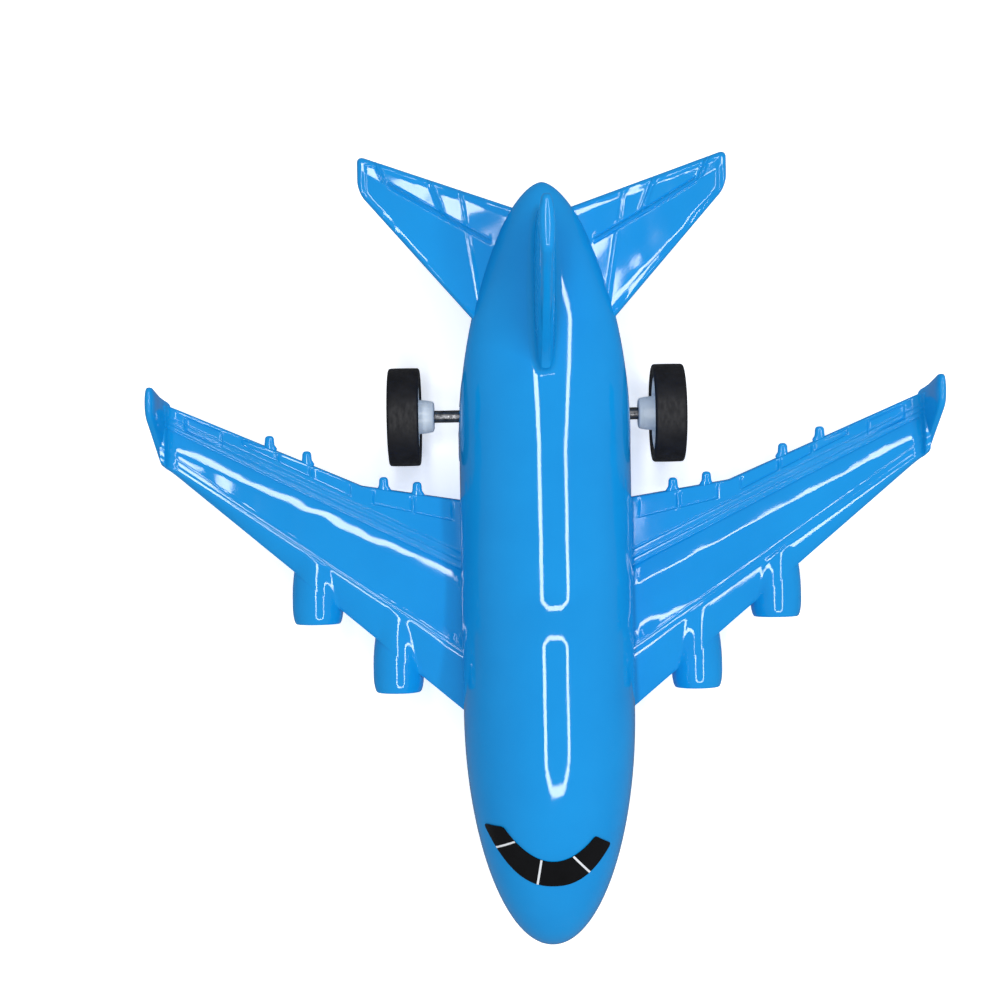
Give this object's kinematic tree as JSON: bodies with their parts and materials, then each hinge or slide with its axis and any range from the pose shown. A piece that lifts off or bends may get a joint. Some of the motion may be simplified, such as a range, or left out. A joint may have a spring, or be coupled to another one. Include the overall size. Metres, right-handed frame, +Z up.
{
  "type": "toy airplane",
  "caption": "Push-and-go toy jet airliner with swept wings, engine pods, clamped tailplane, geared flywheel motor and free-rolling wheels.",
  "frame": {"origin": "on the floor, under the middle of the aeroplane's overall length and span", "axes": "+Z up, +Y towards the tail, so the nose points to -Y; +X across the span"},
  "size_m": [0.1856, 0.1867, 0.08],
  "materials": {
    "blue_plastic": "polished injection moulding",
    "window_print": "gloss black print",
    "black_plastic": "satin moulding",
    "white_plastic": "self-coloured acetal",
    "grey_plastic": "semi-gloss moulding",
    "black_rubber": "smooth rubber",
    "steel": "bright drawn steel"
  },
  "bodies": {
    "fuselage": {"upper_shell": "blue_plastic", "lower_shell": "blue_plastic", "wing_left": "blue_plastic", "wing_right": "blue_plastic", "engine_cowl_inner_left": "blue_plastic", "engine_cowl_inner_right": "blue_plastic", "engine_cowl_outer_left": "blue_plastic", "engine_cowl_outer_right": "blue_plastic", "tailplane": "blue_plastic", "cockpit_decal": "window_print", "gear_case_left": "black_plastic", "gear_case_right": "black_plastic", "idler_pin": "steel", "shell_screw_1": "steel", "shell_screw_2": "steel", "shell_screw_3": "steel", "wing_screw_left": "steel", "wing_screw_right": "steel", "motor_screw_front": "steel", "motor_screw_rear": "steel"},
    "drive_axle": {"drive_axle": "steel", "axle_gear": "white_plastic", "hub_left": "grey_plastic", "hub_right": "grey_plastic", "tyre_left": "black_rubber", "tyre_right": "black_rubber"},
    "idler": {"idler_gear": "white_plastic"},
    "flywheel": {"flywheel": "steel", "flywheel_shaft": "steel", "flywheel_pinion": "steel"},
    "nose_wheels": {"nose_axle": "steel", "nose_wheel_left": "black_plastic", "nose_wheel_right": "black_plastic"}
  },
  "joints": [
    {"name": "drive_axle_spin", "type": "hinge", "parent": "fuselage", "child": "drive_axle", "pos_m": [0, 0.034, 0.012], "axis": [1, 0, 0], "continuous": true},
    {"name": "idler_spin", "type": "hinge", "parent": "fuselage", "child": "idler", "pos_m": [0, 0.02816, 0.01896], "axis": [1, 0, 0], "continuous": true},
    {"name": "flywheel_spin", "type": "hinge", "parent": "fuselage", "child": "flywheel", "pos_m": [0, 0.02965, 0.02741], "axis": [1, 0, 0], "continuous": true},
    {"name": "nose_wheel_spin", "type": "hinge", "parent": "fuselage", "child": "nose_wheels", "pos_m": [0, -0.062, 0.006], "axis": [1, 0, 0], "continuous": true}
  ],
  "couplings": [
    {"joint": "idler_spin", "follows": "flywheel_spin", "ratio": -0.41667},
    {"joint": "drive_axle_spin", "follows": "flywheel_spin", "ratio": 0.16026}
  ]
}
